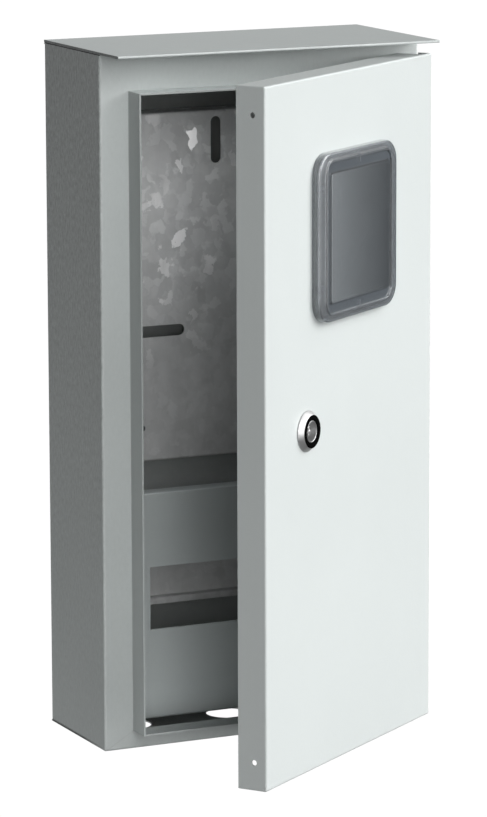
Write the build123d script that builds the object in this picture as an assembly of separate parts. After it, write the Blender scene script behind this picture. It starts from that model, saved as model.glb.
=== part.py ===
from build123d import *
import os
from math import sin, cos, radians

# Wall-hung sheet-steel enclosure for one electricity meter and a row of
# nine modules. It has a rain canopy, a raised collar round the opening,
# a folded door that stands open, a smoky meter window and a quarter-turn lock.
# The build frame has X to the right, Y into the depth with the front
# frame's face at y = 0, and Z up from the bottom. Every piece is moved
# at the end so that the origin is the centre of the four wall holes on
# the outer back face.

# ---- driving dimensions, mm ----
W = 250.0            # body width
H = 500.0            # body height
D = 98.5             # body depth, front frame face to back face
T = 1.2              # painted sheet
RB = 0.6             # inside bend radius
COL_X = 102.9        # collar, outer face, half width
COL_Z0 = 13.3        # collar, outer face, bottom
COL_Z1 = 473.5       # collar, outer face, top
COL_Y = -19.0        # collar's front edge
CAN_T = 1.8          # canopy sheet
CAN_OUT = 33.5       # canopy overhang in front
WALL_DX = 180.0      # wall holes across
WALL_DZ = 440.0      # wall holes up and down
WALL_R = 3.5
CABLE_X = (-79.0, 0.0, 79.0)
CABLE_Y = 61.0
CABLE_R = 16.0

PLATE_Y = 77.0       # meter plate, front face
PLATE_T = 1.0
PLATE_X = 105.0      # half width
PLATE_Z0, PLATE_Z1 = 192.2, 447.3
COVER_Y = 20.0       # module cover, front face
COVER_X = 100.0      # half width
COVER_Z0, COVER_Z1 = 14.8, 181.0
CUT_X = 79.9         # module window, half width
CUT_Z0, CUT_Z1 = 80.8, 126.8
RAIL_Y = 71.5        # rail, front of its edges
RAIL_Z = 103.8
RAIL_L = 200.0
RAIL_T = 1.0

OPEN_DEG = 35.6      # how far the door stands open
HX, HY = 114.5, -13.0  # hinge axis
DX = 124.0           # door, half width
DZ0, DZ1 = 3.4, 490.9
DY = -23.0           # door's outer face when shut
DY_REAR = -0.8       # rear edge of its folds when shut
DY_HINGE = -12.4     # rear edge of the shallow fold at the hinge side
NOTCH = 12.0         # end notch of the top and bottom folds, hinge side
WIN_Z = 378.5        # window centre
WIN_W, WIN_H = 116.0, 118.0
LOCK_X, LOCK_Z = -65.0, 246.8
HINGES = (425.0, 40.0)  # underside of each fixed knuckle

ORIGIN = Pos(0, -D, -H / 2)
SWING = Pos(HX, HY, 0) * Rot(0, 0, OPEN_DEG) * Pos(-HX, -HY, 0)

os.makedirs("parts", exist_ok=True)
written = []


def bx(x0, x1, y0, y1, z0, z1):
    return Pos((x0 + x1) / 2, (y0 + y1) / 2, (z0 + z1) / 2) * Box(
        abs(x1 - x0), abs(y1 - y0), abs(z1 - z0)
    )


def cyl(p, axis, r, h):
    """Cylinder of length h from point p along axis."""
    return Plane(origin=p, z_dir=axis).location * Cylinder(
        r, h, align=(Align.CENTER, Align.CENTER, Align.MIN)
    )


def cone(p, axis, r0, r1, h):
    return Plane(origin=p, z_dir=axis).location * Cone(
        r0, r1, h, align=(Align.CENTER, Align.CENTER, Align.MIN)
    )


def strip(pts, t, side, ri=RB):
    """Section of a folded sheet. pts is one face of it, and the sheet
    lies on the left (+1) or right (-1) of the way along pts."""
    p = [Vector(a, b, 0) for a, b in pts]
    n = len(p)
    d = [(p[i + 1] - p[i]).normalized() for i in range(n - 1)]
    m = [Vector(-v.Y * side, v.X * side, 0) for v in d]
    off = [p[0] + m[0] * t]
    for i in range(1, n - 1):
        off.append(p[i] + (m[i - 1] + m[i]) * (t / (1 + m[i - 1].dot(m[i]))))
    off.append(p[-1] + m[-1] * t)
    out = make_face(Polyline(*(p + off[::-1]), close=True))
    out = Sketch() + out
    small, large = [], []
    for i in range(1, n - 1):
        turn = d[i - 1].cross(d[i]).Z * side
        if turn > 0:
            large.append(p[i])
            small.append(off[i])
        else:
            large.append(off[i])
            small.append(p[i])
    for group, r in ((small, ri), (large, ri + t)):
        chosen = [out.vertices().sort_by_distance(v)[0] for v in group]
        if chosen:
            out = fillet(chosen, r)
    return out


def along_z(sk, z0, z1):
    return extrude(Plane.XY.offset(z0) * sk, z1 - z0)


def along_x(sk, x0, x1):
    """Section drawn in (y, z), run along X."""
    pl = Plane(origin=(x0, 0, 0), x_dir=(0, 1, 0), z_dir=(1, 0, 0))
    return extrude(pl * sk, x1 - x0)


def prism_xz(pts, y0, y1):
    """Prism with an outline in (x, z), run along Y from y0 to y1."""
    pl = Plane(origin=(0, y0, 0), x_dir=(1, 0, 0), z_dir=(0, -1, 0))
    face = make_face(Polyline(*[(a, b) for a, b in pts], close=True))
    return extrude(pl * face, -(y1 - y0))


def slot_xz(cx, cz, length, r, y0, y1, upright=False):
    """Round-ended slot cut along Y. length is end to end."""
    half = length / 2 - r
    if upright:
        a, b = (cx, cz - half), (cx, cz + half)
        mid = bx(cx - r, cx + r, y0, y1, cz - half, cz + half)
    else:
        a, b = (cx - half, cz), (cx + half, cz)
        mid = bx(cx - half, cx + half, y0, y1, cz - r, cz + r)
    ends = [cyl((u, y0, v), (0, 1, 0), r, y1 - y0) for u, v in (a, b)]
    return mid + ends[0] + ends[1]


def frame_at(p, axis):
    """Where a piece drawn up +Z from its own origin is put."""
    return Plane(origin=p, z_dir=axis).location


def nut(p, axis, flats, h, r):
    """Hexagon nut, seat at p, standing along axis, corners turned off."""
    corner = flats / 2 / cos(radians(30))
    body = extrude(RegularPolygon(corner, 6), h)
    drum = Cylinder(corner, h, align=(Align.CENTER, Align.CENTER, Align.MIN))
    drum = chamfer(drum.edges().group_by(Axis.Z)[-1], (corner - flats / 2) * 0.9)
    drum = chamfer(drum.edges().group_by(Axis.Z)[0], (corner - flats / 2) * 0.9)
    body = (body & drum) - Pos(0, 0, -1) * Cylinder(
        r, h + 2, align=(Align.CENTER, Align.CENTER, Align.MIN)
    )
    return frame_at(p, axis) * body


def washer(p, axis, r1, r0, h):
    ring = Cylinder(r1, h, align=(Align.CENTER, Align.CENTER, Align.MIN))
    ring -= Cylinder(r0, h, align=(Align.CENTER, Align.CENTER, Align.MIN))
    return frame_at(p, axis) * ring


def stud(p, axis, r, h, foot_r=0.0, foot_h=0.0):
    """Weld stud with a low foot and a turned-off end."""
    s = Cylinder(r, h, align=(Align.CENTER, Align.CENTER, Align.MIN))
    s = chamfer(s.edges().group_by(Axis.Z)[-1], r * 0.3)
    if foot_r:
        s += Cylinder(foot_r, foot_h, align=(Align.CENTER, Align.CENTER, Align.MIN))
    return frame_at(p, axis) * s


def pan_screw(p, axis, r, shank, head_r, head_h):
    """Pan-head cross-recess screw. p is the middle of the seat, and the
    head stands along axis."""
    head = Cylinder(head_r, head_h, align=(Align.CENTER, Align.CENTER, Align.MIN))
    head = fillet(head.edges().group_by(Axis.Z)[-1], head_h * 0.55)
    for turn in (0, 90):
        head -= Pos(0, 0, head_h) * Rot(0, 0, turn) * Box(head_r * 1.1, 0.9, head_h * 1.1)
    body = head + Pos(0, 0, -shank) * Cylinder(
        r, shank, align=(Align.CENTER, Align.CENTER, Align.MIN)
    )
    return frame_at(p, axis) * body


def put(name, *shapes, door=False):
    where = ORIGIN * SWING if door else ORIGIN
    solids = []
    for s in shapes:
        solids += list((where * s).solids())
    whole = solids[0] if len(solids) == 1 else Compound(solids)
    whole.label = name
    export_step(whole, os.path.join("parts", name + ".step"))
    written.append((name, len(solids), round(sum(s.volume for s in solids), 1)))


# ================= body =================
wall_holes = [(sx * WALL_DX / 2, H / 2 + sz * WALL_DZ / 2) for sx in (-1, 1) for sz in (-1, 1)]

# Sides, back, upright edges of the front frame and the collar's upright
# lips are one folded sheet.
wrap = along_z(
    strip(
        [(-COL_X, COL_Y), (-COL_X, 0), (-W / 2, 0), (-W / 2, D), (W / 2, D),
         (W / 2, 0), (COL_X, 0), (COL_X, COL_Y)],
        T, -1,
    ),
    T, H - T,
)
# The frame's corners are mitred from the outer corner to the collar.
lip_in = COL_X - T
low = [(-W / 2, 0), (-COL_X, COL_Z0), (-lip_in, COL_Z0), (-lip_in, COL_Z0 + T),
       (lip_in, COL_Z0 + T), (lip_in, COL_Z0), (COL_X, COL_Z0), (W / 2, 0)]
high = [(-W / 2, H), (-COL_X, COL_Z1), (-lip_in, COL_Z1), (-lip_in, COL_Z1 - T),
        (lip_in, COL_Z1 - T), (lip_in, COL_Z1), (COL_X, COL_Z1), (W / 2, H)]
low_zone = prism_xz([(-W / 2 - 2, -1.2)] + low + [(W / 2 + 2, -1.2)], COL_Y - 2, 2.4)
high_zone = prism_xz([(-W / 2 - 2, H + 1.2)] + high + [(W / 2 + 2, H + 1.2)], COL_Y - 2, 2.4)
wrap -= low_zone
wrap -= high_zone
for x, z in wall_holes:
    wrap -= cyl((x, D - 3, z), (0, 1, 0), WALL_R, 6)
# The upright lips stop at the collar's outer height.
wrap -= bx(-COL_X - 0.01, COL_X + 0.01, COL_Y - 1, -0.01, -1, COL_Z0)
wrap -= bx(-COL_X - 0.01, COL_X + 0.01, COL_Y - 1, -0.01, COL_Z1, H + 1)
# Small reliefs where the back corners' folds meet the end panels.
for sx in (-1, 1):
    for z, dz in ((T, 1), (H - T, -1)):
        pts = [(D - 1.1, z - dz), (D - 1.1, z), (D, z + dz * 4.5), (D + 1, z + dz * 4.5), (D + 1, z - dz)]
        wedge = along_x(Sketch() + make_face(Polyline(*pts, close=True)),
                        min(sx * 121, sx * 126), max(sx * 121, sx * 126))
        wrap -= wedge
put("body_wrap", wrap)

front = bx(-W, W, COL_Y - 3, 2.4, -5, H + 5)
bottom = along_x(
    strip([(D, 0), (0, 0), (0, COL_Z0), (COL_Y, COL_Z0)], T, -1), -W / 2, W / 2
)
bottom -= bx(-W, -lip_in, COL_Y - 1, -0.001, T + 1, 40) + bx(lip_in, W, COL_Y - 1, -0.001, T + 1, 40)
bottom -= (front & bx(-W, W, -30, 3, T, 60)) - low_zone
bottom -= wrap
bottom = fillet([e for e in bottom.edges().filter_by(Axis.Y)
                 if abs(abs(e.center().X) - W / 2) < 0.01 and abs(e.center().Z) < 0.01 and e.length > 50], 1.1)
for x in CABLE_X:
    bottom -= cyl((x, CABLE_Y, -1), (0, 0, 1), CABLE_R, 4)
put("bottom_panel", bottom)

top = along_x(
    strip([(D, H), (0, H), (0, COL_Z1), (COL_Y, COL_Z1)], T, 1), -W / 2, W / 2
)
top -= bx(-W, -lip_in, COL_Y - 1, -0.001, 440, H - T - 1) + bx(lip_in, W, COL_Y - 1, -0.001, 440, H - T - 1)
top -= (front & bx(-W, W, -30, 3, 440, H - T)) - high_zone
top -= wrap
top = fillet([e for e in top.edges().filter_by(Axis.Y)
              if abs(abs(e.center().X) - W / 2) < 0.01 and abs(e.center().Z - H) < 0.01 and e.length > 50], 1.1)
put("top_panel", top)

canopy = bx(-W / 2, W / 2, -CAN_OUT, D, H, H + CAN_T)
canopy = fillet(canopy.edges().filter_by(Axis.X).group_by(Axis.Y)[0], 0.7)
put("rain_canopy", canopy)

# ---- meter plate: galvanised, with a fold at top and bottom that
# stands on the back wall ----
back_in = D - T
plate = along_x(
    strip([(back_in, PLATE_Z0), (PLATE_Y, PLATE_Z0), (PLATE_Y, PLATE_Z1), (back_in, PLATE_Z1)],
          PLATE_T, -1, ri=0.8),
    -PLATE_X, PLATE_X,
)
SLOT_X, SLOT_Z, SLOT_L, SLOT_R = 55.8, 288.0, 60.0, 4.2
VSLOT_Z, VSLOT_L, VSLOT_R = 425.5, 34.2, 4.0
plate -= slot_xz(-SLOT_X, SLOT_Z, SLOT_L, SLOT_R, PLATE_Y - 1, PLATE_Y + 3)
plate -= slot_xz(SLOT_X, SLOT_Z, SLOT_L, SLOT_R, PLATE_Y - 1, PLATE_Y + 3)
plate -= slot_xz(0, VSLOT_Z, VSLOT_L, VSLOT_R, PLATE_Y - 1, PLATE_Y + 3, upright=True)
for sx in (-1, 1):
    plate -= cyl((sx * 59.5, PLATE_Y - 1, 216.9), (0, 1, 0), 2.0, 4)
STUDS = [(sx * 92.0, z) for sx in (-1, 1) for z in (216.9, 425.5)]
for x, z in STUDS:
    plate -= cyl((x, PLATE_Y - 1, z), (0, 1, 0), 2.7, 4)
put("meter_plate", plate)
put("plate_studs", *[stud((x, back_in, z), (0, -1, 0), 2.5, 29.0, 4.0, 1.0) for x, z in STUDS])
put("plate_washers", *[washer((x, PLATE_Y, z), (0, -1, 0), 5.0, 2.65, 1.0) for x, z in STUDS])
put("plate_nuts", *[nut((x, PLATE_Y - 1.0, z), (0, -1, 0), 8.0, 4.0, 2.5) for x, z in STUDS])

# ---- rail for the modules, on two brackets ----
rail_back = RAIL_Y + 7.5
rail = along_x(
    strip(
        [(RAIL_Y + RAIL_T, RAIL_Z - 17.5), (RAIL_Y + RAIL_T, RAIL_Z - 13.5),
         (rail_back, RAIL_Z - 13.5), (rail_back, RAIL_Z + 13.5),
         (RAIL_Y + RAIL_T, RAIL_Z + 13.5), (RAIL_Y + RAIL_T, RAIL_Z + 17.5)],
        RAIL_T, 1, ri=0.5,
    ),
    -RAIL_L / 2, RAIL_L / 2,
)
BRK_X = 90.0
for sx in (-1, 1):
    rail -= cyl((sx * BRK_X, RAIL_Y, RAIL_Z), (0, 1, 0), 2.6, 12)
put("din_rail", rail)
for side, sx in (("left", -1), ("right", 1)):
    # Hat-section bracket, open downwards, welded to the back wall.
    b = along_z(
        strip(
            [(sx * (BRK_X - 17), back_in), (sx * (BRK_X - 9), back_in), (sx * (BRK_X - 9), rail_back + 1.5),
             (sx * (BRK_X + 9), rail_back + 1.5), (sx * (BRK_X + 9), back_in), (sx * (BRK_X + 17), back_in)],
            1.5, 1 if sx < 0 else -1, ri=0.6,
        ),
        RAIL_Z - 13.0, RAIL_Z + 13.0,
    )
    b -= cyl((sx * BRK_X, rail_back - 1, RAIL_Z), (0, 1, 0), 2.5, 8)
    put("rail_bracket_" + side, b)
put("rail_screws", *[pan_screw((sx * BRK_X, rail_back - RAIL_T, RAIL_Z), (0, -1, 0), 2.5, 6.0, 4.4, 2.9)
                     for sx in (-1, 1)])

# ---- cover in front of the modules ----
cy = COVER_Y
cover = along_x(
    strip([(cy + 13.5, COVER_Z1), (cy, COVER_Z1), (cy, COVER_Z0), (cy + 10.0, COVER_Z0)], T, 1),
    -COVER_X, COVER_X,
)
cover -= bx(-CUT_X, CUT_X, cy - 2, cy + 4, CUT_Z0, CUT_Z1)
COVER_SCREWS = [(sx * 93.0, z) for sx in (-1, 1) for z in (34.0, 160.0)]
for x, z in COVER_SCREWS:
    cover -= cyl((x, cy - 1, z), (0, 1, 0), 2.2, 4)
put("module_cover", cover)
side_in = W / 2 - T
for side, sx in (("left", -1), ("right", 1)):
    # Angle welded to the side wall; the cover's screws go into its tongue.
    a = along_z(
        strip([(sx * side_in, cy + T + 16.0), (sx * side_in, cy + T), (sx * 87.0, cy + T)],
              1.5, 1 if sx < 0 else -1, ri=0.8),
        20.0, 174.0,
    )
    for x, z in COVER_SCREWS:
        a -= cyl((x, cy, z), (0, 1, 0), 2.0, 6)
    put("cover_support_" + side, a)
put("cover_screws", *[pan_screw((x, cy, z), (0, -1, 0), 2.0, 8.0, 4.0, 2.6) for x, z in COVER_SCREWS])

# ---- earth stud on the back wall ----
EX, EZ = -62.0, 40.0
put("body_earth_stud", stud((EX, back_in, EZ), (0, -1, 0), 3.0, 26.0, 5.0, 1.2))
put("body_earth_washers",
    washer((EX, back_in - 6.2, EZ), (0, -1, 0), 6.0, 3.0, 1.6),
    washer((EX, back_in - 7.8, EZ), (0, -1, 0), 6.0, 3.0, 1.6))
put("body_earth_nuts",
    nut((EX, back_in - 1.2, EZ), (0, -1, 0), 10.0, 5.0, 3.0),
    nut((EX, back_in - 9.4, EZ), (0, -1, 0), 10.0, 5.0, 3.0))

# ---- fixed halves of the hinges: base on the frame, leg, knuckle ----
KN_R, KN_B, KN_H = 4.5, 2.5, 18.0
for label, z in (("upper", HINGES[0]), ("lower", HINGES[1])):
    k = cyl((HX, HY, z), (0, 0, 1), KN_R, KN_H)
    k += bx(HX - KN_R, HX - KN_B, HY, 0, z, z + KN_H)
    k += bx(COL_X + 1.3, HX - KN_B, -2.0, 0, z, z + KN_H)
    k -= cyl((HX, HY, z - 1), (0, 0, 1), KN_B, KN_H + 2)
    k = fillet(k.edges().filter_by(Axis.Z).sort_by_distance((HX - KN_R, -2.0, z + KN_H / 2))[0], 1.2)
    put("hinge_bracket_" + label, k)
    pin = cyl((HX, HY, z - 1.0), (0, 0, 1), KN_B, 2 * KN_H + 1.6)
    pin = chamfer(pin.edges().group_by(Axis.Z)[0], 0.5)
    head = cyl((HX, HY, z + 2 * KN_H + 0.6), (0, 0, 1), 3.9, 1.6)
    head = fillet(head.edges().group_by(Axis.Z)[-1], 0.8)
    put("hinge_pin_" + label, pin + head)

# ================= door, drawn shut =================
outer = bx(-DX, DX, DY, DY_REAR, DZ0, DZ1)
outer = fillet(outer.edges().filter_by(Axis.Y), 1.0)
outer = fillet(outer.faces().sort_by(Axis.Y)[0].edges(), RB + T - 0.3)
inner = bx(-DX + T, DX - T, DY + T, DY_REAR + 2, DZ0 + T, DZ1 - T)
inner = fillet(inner.faces().sort_by(Axis.Y)[0].edges(), RB)
door = outer - inner
# The fold at the hinge side is shallow, and the top and bottom folds are
# notched beside it, so that the door clears the frame as it swings.
door -= bx(DX - T - RB - 0.2, DX + 1, DY_HINGE, 2, DZ0 - 1, DZ1 + 1)
for z0, z1 in ((DZ1 - T - RB, DZ1 + 1), (DZ0 - 1, DZ0 + T + RB)):
    door -= bx(DX - NOTCH, DX + 1, DY_HINGE, 2, z0, z1)
    door -= bx(DX - NOTCH, DX - T, DY + T + 0.4, 2, z0, z1)
# Two holes in the fold at the free edge.
for z in (471.2, 23.2):
    door -= cyl((-DX - 1, -13.3, z), (1, 0, 0), 2.05, 4)
# Window cut-out and lock hole.
WC_X, WC_Z0, WC_Z1 = 53.0, WIN_Z - 54.0, WIN_Z + 54.0
cut = bx(-WC_X, WC_X, DY - 1, DY + T + 1, WC_Z0, WC_Z1)
cut = fillet(cut.edges().filter_by(Axis.Y), 9.0)
door -= cut
SHANK_R, FLAT = 10.0, 9.0
hole = cyl((LOCK_X, DY - 1, LOCK_Z), (0, 1, 0), SHANK_R + 0.1, 4)
hole &= bx(LOCK_X - FLAT - 0.1, LOCK_X + FLAT + 0.1, DY - 2, DY + 4, LOCK_Z - 20, LOCK_Z + 20)
door -= hole
put("door_panel", door, door=True)

din = DY + T
gk = bx(-107.3, 107.3, din, din + 2.4, 8.9, 477.9)
gk = fillet(gk.edges().filter_by(Axis.Y), 2.0)
gk -= bx(-97.3, 97.3, din - 1, din + 5, 18.9, 467.9)
put("door_gasket", gk, door=True)

# ---- window: a thin moulded shell with a stepped front, a flat pane,
# and snap hooks through the cut-out ----
WX, WZ = WIN_W / 2, WIN_H / 2


def rounded(hx, hz, r, y0, y1):
    b = bx(-hx, hx, y0, y1, WIN_Z - hz, WIN_Z + hz)
    return fillet(b.edges().filter_by(Axis.Y), r)


H1, H2, H3 = 6.4, 7.4, 8.1
TH = 2.0
win = rounded(WX, WZ, 15.6, DY - H1, DY)
win = chamfer(win.faces().sort_by(Axis.Y)[0].edges(), 0.9)
win += rounded(49.3, 52.3, 10.0, DY - H2, DY - H1)
win += rounded(43.2, 45.2, 2.0, DY - H3, DY - H2)
hollow = rounded(WX - TH, WZ - TH, 13.6, DY - H1 + TH, DY + 1)
hollow += rounded(47.3, 50.3, 8.0, DY - H2 + TH, DY - H1 + TH + 0.5)
hollow += rounded(41.2, 43.2, 1.5, DY - H3 + TH, DY - H2 + TH + 0.5)
win -= hollow
# A groove round the pane.
groove = rounded(47.2, 49.6, 8.0, DY - H2, DY - H2 + 0.7) - rounded(43.2, 45.2, 2.0, DY - H2 - 1, DY + 1)
win -= groove
HOOKS = [(-1, 0, 0.0, 34.9), (-1, 0, 0.0, -34.9), (1, 0, 0.0, 34.9), (1, 0, 0.0, -34.9),
         (0, 1, 0.0, 0.0), (0, -1, 0.0, 0.0)]
for sx, sz, _u, v in HOOKS:
    y0, y1 = DY - H1 + TH - 0.5, DY + T + 2.6
    yb = DY + T + 0.25
    if sx:
        xo = sx * (WC_X - 0.25)
        arm = bx(xo, xo - sx * 1.8, y0, y1, WIN_Z + v - 3.0, WIN_Z + v + 3.0)
        barb = Polyline((xo, yb), (xo + sx * 1.2, yb), (xo, y1), close=True)
        tooth = extrude(Plane.XY.offset(WIN_Z + v - 3.0) * make_face(barb), 6.0)
    else:
        zo = WIN_Z + sz * (54.0 - 0.25)
        arm = bx(-3.0, 3.0, y0, y1, zo, zo - sz * 1.8)
        barb = Polyline((yb, zo), (yb, zo + sz * 1.2), (y1, zo), close=True)
        tooth = along_x(Sketch() + make_face(barb), -3.0, 3.0)
    win += arm + tooth
put("window", win, door=True)
seal = rounded(WX - TH, WZ - TH, 13.6, DY - 1.5, DY)
seal -= rounded(WC_X + 0.3, 54.3, 9.3, DY - 3, DY + 1)
put("window_seal", seal, door=True)

# ---- lock ----
LP = (LOCK_X, 0, LOCK_Z)


def lc(y, r, h, axis=1):
    return cyl((LOCK_X, y, LOCK_Z), (0, axis, 0), r, h)


ROTOR_R, ROTOR_R2 = 7.9, 5.5
RUN = 0.05
housing = lc(DY - 0.9, 14.45, 0.9)
housing += cone((LOCK_X, DY - 0.9, LOCK_Z), (0, -1, 0), 14.45, 11.7, 3.5)
shank = lc(DY, SHANK_R, 24.3) & bx(LOCK_X - FLAT, LOCK_X + FLAT, DY, 3, LOCK_Z - 20, LOCK_Z + 20)
housing += shank
housing -= lc(DY - 6, 11.2, 2.9)                      # seat of the black ring
housing -= lc(DY - 6, ROTOR_R + RUN, 6 + 20.0)        # running bore
housing -= lc(DY - 6, ROTOR_R2 + RUN, 6 + 26.0)       # rear bearing
put("lock_housing", housing, door=True)
ring = lc(DY - 4.6, 11.2, 1.5)
ring = fillet(ring.edges().group_by(Axis.Y)[0], 0.5)
ring -= lc(DY - 6, 7.95, 6)
put("lock_ring", ring, door=True)
lnut = nut((LOCK_X, DY + T, LOCK_Z), (0, 1, 0), 25.0, 5.0, SHANK_R)
keep = bx(LOCK_X - 30, LOCK_X + 30, -30, 5, LOCK_Z - 30, LOCK_Z + 30)
put("lock_nut", lnut & keep, door=True)

rotor = lc(DY - 3.9, ROTOR_R, 23.85)
rotor += lc(DY + 19.9, ROTOR_R2, 1.6 - (DY + 19.9))
rotor += bx(LOCK_X - 3.5, LOCK_X + 3.5, 1.5, 4.0, LOCK_Z - 3.5, LOCK_Z + 3.5)
cup = lc(DY - 5, 6.9, 10.1)
rotor -= cup
# Double-bit pin in the cup.
pin_y = DY - 2.6
rotor += lc(pin_y, 1.6, 8.0)
rotor += bx(LOCK_X - 0.9, LOCK_X + 0.9, pin_y, DY + 5.3, LOCK_Z - 3.6, LOCK_Z + 3.6)
rotor -= lc(-8.0, 2.1, 13.0)
put("lock_insert", rotor, door=True)

CAM_L, CAM_W, CAM_T = 45.0, 15.0, 2.5
cam = lc(1.6, 9.0, CAM_T)
cam += bx(LOCK_X - CAM_W / 2, LOCK_X + CAM_W / 2, 1.6, 1.6 + CAM_T, LOCK_Z - CAM_L + CAM_W / 2, LOCK_Z)
cam += cyl((LOCK_X, 1.6, LOCK_Z - CAM_L + CAM_W / 2), (0, 1, 0), CAM_W / 2, CAM_T)
cam -= bx(LOCK_X - 3.5, LOCK_X + 3.5, 0, 6, LOCK_Z - 3.5, LOCK_Z + 3.5)
put("lock_cam", cam, door=True)
wy = 1.6 + CAM_T
put("cam_washer", washer((LOCK_X, wy, LOCK_Z), (0, 1, 0), 6.0, 2.6, 1.0), door=True)
sc = cyl((LOCK_X, wy + 1.0, LOCK_Z), (0, -1, 0), 2.1, 11.0)
hx_head = extrude(RegularPolygon(8.0 / 2 / cos(radians(30)), 6), 3.0)
drum = Cylinder(8.0 / 2 / cos(radians(30)), 3.0, align=(Align.CENTER, Align.CENTER, Align.MIN))
drum = chamfer(drum.edges().group_by(Axis.Z)[-1], 0.5)
sc += frame_at((LOCK_X, wy + 1.0, LOCK_Z), (0, 1, 0)) * (hx_head & drum)
put("cam_screw", sc, door=True)

# ---- moving halves of the hinges ----
for label, z in (("upper", HINGES[0]), ("lower", HINGES[1])):
    z0 = z + KN_H + 0.3
    k = cyl((HX, HY, z0), (0, 0, 1), KN_R, KN_H)
    k += bx(HX + KN_B + 0.05, HX + KN_R, din, HY, z0, z0 + KN_H)
    k += bx(108.6, HX + KN_R, din, din + 2.0, z0, z0 + KN_H)
    k -= cyl((HX, HY, z0 - 1), (0, 0, 1), KN_B + RUN, KN_H + 2)
    put("door_lug_" + label, k, door=True)

# ---- earth stud on the door ----
DEX, DEZ = 86.0, 120.0
put("door_earth_stud", stud((DEX, din, DEZ), (0, 1, 0), 3.0, 17.0, 5.0, 1.2), door=True)
put("door_earth_washers",
    washer((DEX, din + 1.2, DEZ), (0, 1, 0), 6.0, 3.0, 1.6),
    washer((DEX, din + 2.8, DEZ), (0, 1, 0), 6.0, 3.0, 1.6), door=True)
put("door_earth_nuts", nut((DEX, din + 4.4, DEZ), (0, 1, 0), 10.0, 5.0, 3.0), door=True)

print("nodes", len(written))
for row in written:
    print(*row)
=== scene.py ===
import math

import bmesh
import bpy
from mathutils import Matrix, Vector


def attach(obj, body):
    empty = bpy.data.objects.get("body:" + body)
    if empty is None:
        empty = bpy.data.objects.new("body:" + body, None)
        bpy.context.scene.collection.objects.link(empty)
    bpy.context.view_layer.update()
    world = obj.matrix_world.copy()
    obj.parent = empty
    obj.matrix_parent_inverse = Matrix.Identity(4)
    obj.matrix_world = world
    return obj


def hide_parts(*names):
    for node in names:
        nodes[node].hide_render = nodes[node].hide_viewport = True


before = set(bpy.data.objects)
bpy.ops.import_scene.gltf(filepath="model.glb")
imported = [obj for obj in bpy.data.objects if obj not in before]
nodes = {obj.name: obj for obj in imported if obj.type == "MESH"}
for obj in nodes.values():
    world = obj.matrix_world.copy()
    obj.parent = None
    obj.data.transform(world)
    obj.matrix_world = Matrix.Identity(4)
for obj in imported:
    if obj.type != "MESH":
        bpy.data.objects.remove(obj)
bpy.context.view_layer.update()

# Drawing coordinates are millimetres with the front frame's face at y = 0 and
# z up from the bottom, as on the drawing. ROW takes them to the row's metres.
DEPTH, HEIGHT = 98.5, 500.0
ROW = Matrix.Scale(0.001, 4) @ Matrix.Translation((0.0, -DEPTH, -HEIGHT / 2))
HX, HY, OPEN_DEG = 114.5, -13.0, 35.6
SWING = (
    Matrix.Translation((HX, HY, 0.0))
    @ Matrix.Rotation(math.radians(OPEN_DEG), 4, "Z")
    @ Matrix.Translation((-HX, -HY, 0.0))
)
DOOR = ROW @ SWING


# ------------------------------------------------------------------ camera
def place_camera():
    cam = bpy.data.objects.new("camera", bpy.data.cameras.new("camera"))
    bpy.context.scene.collection.objects.link(cam)
    yaw, pitch, roll = (math.radians(a) for a in (25.2518, -10.4699, -0.1874))
    ahead = Vector((math.sin(yaw) * math.cos(pitch), math.cos(yaw) * math.cos(pitch), math.sin(pitch)))
    right = Vector((math.cos(yaw), -math.sin(yaw), 0.0))
    up = right.cross(ahead)
    right2 = right * math.cos(roll) + up * math.sin(roll)
    up2 = -right * math.sin(roll) + up * math.cos(roll)
    turn = Matrix((right2, up2, -ahead)).transposed().to_4x4()
    cam.matrix_world = Matrix.Translation((-1.347392, -2.923921, 0.568250)) @ turn
    cam.data.sensor_width = 36.0
    cam.data.lens = 4435.0575 * 36.0 / 817.0
    cam.data.clip_start = 0.05
    cam.data.clip_end = 200.0
    bpy.context.scene.camera = cam
    return cam


camera = place_camera()


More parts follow.
